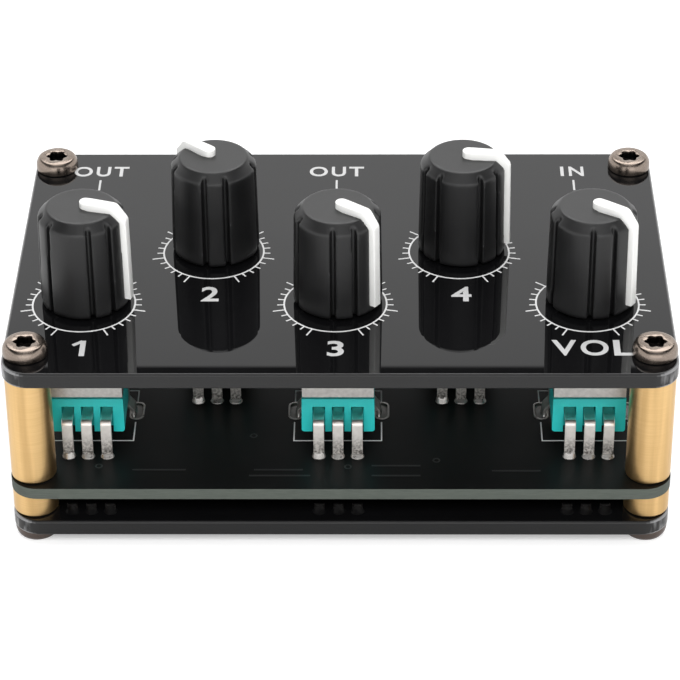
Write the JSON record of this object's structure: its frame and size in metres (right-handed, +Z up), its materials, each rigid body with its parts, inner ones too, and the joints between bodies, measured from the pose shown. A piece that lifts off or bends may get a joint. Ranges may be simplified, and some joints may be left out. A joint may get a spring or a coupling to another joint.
{
  "type": "line mixer",
  "caption": "Open sandwich-built passive line mixer: a board with rotary level controls between two dark acrylic plates on brass standoffs, fluted knobs on top and jack sockets at the rear.",
  "frame": {"origin": "under the middle of the four screws, at the level of the undersides of the bottom screw heads", "axes": "+X to the right as the user sees it, +Y to the rear edge with the sockets, +Z up"},
  "size_m": [0.085, 0.0562, 0.0423],
  "materials": {
    "acrylic": "polished black acrylic",
    "board": "black solder mask, semi-gloss",
    "brass": "turned, plain brass",
    "screw_steel": "dark nickel plate",
    "chip": "glazed ceramic chip",
    "pot_plastic": "moulded teal plastic",
    "wafer": "phenolic paper",
    "tinned": "tinned brass strip",
    "pot_metal": "cast zinc, as cast",
    "rotor_plastic": "natural plastic",
    "shaft_metal": "turned",
    "knob_plastic": "soft-touch matte black",
    "pointer_plastic": "white inlay",
    "jack_plastic": "moulded black plastic",
    "contact_metal": "plated strip"
  },
  "bodies": {
    "chassis": {"top_plate": "acrylic", "bottom_plate": "acrylic", "circuit_board": "board", "long_standoffs": "brass", "short_spacers": "brass", "top_screws": "screw_steel", "bottom_screws": "screw_steel", "summing_resistors": "chip", "channel_1_base": "pot_plastic", "channel_1_track_wafer": "wafer", "channel_1_terminals": "tinned", "channel_1_frame": "pot_metal", "channel_2_base": "pot_plastic", "channel_2_track_wafer": "wafer", "channel_2_terminals": "tinned", "channel_2_frame": "pot_metal", "channel_3_base": "pot_plastic", "channel_3_track_wafer": "wafer", "channel_3_terminals": "tinned", "channel_3_frame": "pot_metal", "channel_4_base": "pot_plastic", "channel_4_track_wafer": "wafer", "channel_4_terminals": "tinned", "channel_4_frame": "pot_metal", "master_base": "pot_plastic", "master_track_wafer": "wafer", "master_terminals": "tinned", "master_frame": "pot_metal", "jack_1_housing": "jack_plastic", "jack_1_contacts": "contact_metal", "jack_2_housing": "jack_plastic", "jack_2_contacts": "contact_metal", "jack_3_housing": "jack_plastic", "jack_3_contacts": "contact_metal", "jack_4_housing": "jack_plastic", "jack_4_contacts": "contact_metal", "jack_5_housing": "jack_plastic", "jack_5_contacts": "contact_metal"},
    "channel_1_control": {"channel_1_rotor": "rotor_plastic", "channel_1_shaft": "shaft_metal", "channel_1_knob": "knob_plastic", "channel_1_pointer": "pointer_plastic"},
    "channel_2_control": {"channel_2_rotor": "rotor_plastic", "channel_2_shaft": "shaft_metal", "channel_2_knob": "knob_plastic", "channel_2_pointer": "pointer_plastic"},
    "channel_3_control": {"channel_3_rotor": "rotor_plastic", "channel_3_shaft": "shaft_metal", "channel_3_knob": "knob_plastic", "channel_3_pointer": "pointer_plastic"},
    "channel_4_control": {"channel_4_rotor": "rotor_plastic", "channel_4_shaft": "shaft_metal", "channel_4_knob": "knob_plastic", "channel_4_pointer": "pointer_plastic"},
    "master_control": {"master_rotor": "rotor_plastic", "master_shaft": "shaft_metal", "master_knob": "knob_plastic", "master_pointer": "pointer_plastic"}
  },
  "joints": [
    {"name": "channel_1_turn", "type": "hinge", "parent": "chassis", "child": "channel_1_control", "pos_m": [-0.03285, -0.0106, 0.0277], "axis": [0, 0, -1], "range_deg": [-256, 44]},
    {"name": "channel_2_turn", "type": "hinge", "parent": "chassis", "child": "channel_2_control", "pos_m": [-0.0166, 0.002, 0.0277], "axis": [0, 0, -1], "range_deg": [-101, 199]},
    {"name": "channel_3_turn", "type": "hinge", "parent": "chassis", "child": "channel_3_control", "pos_m": [-0.00035, -0.0106, 0.0277], "axis": [0, 0, -1], "range_deg": [-276, 24]},
    {"name": "channel_4_turn", "type": "hinge", "parent": "chassis", "child": "channel_4_control", "pos_m": [0.0159, 0.002, 0.0277], "axis": [0, 0, -1], "range_deg": [-246, 54]},
    {"name": "master_turn", "type": "hinge", "parent": "chassis", "child": "master_control", "pos_m": [0.03215, -0.0106, 0.0277], "axis": [0, 0, -1], "range_deg": [-274, 26]}
  ]
}
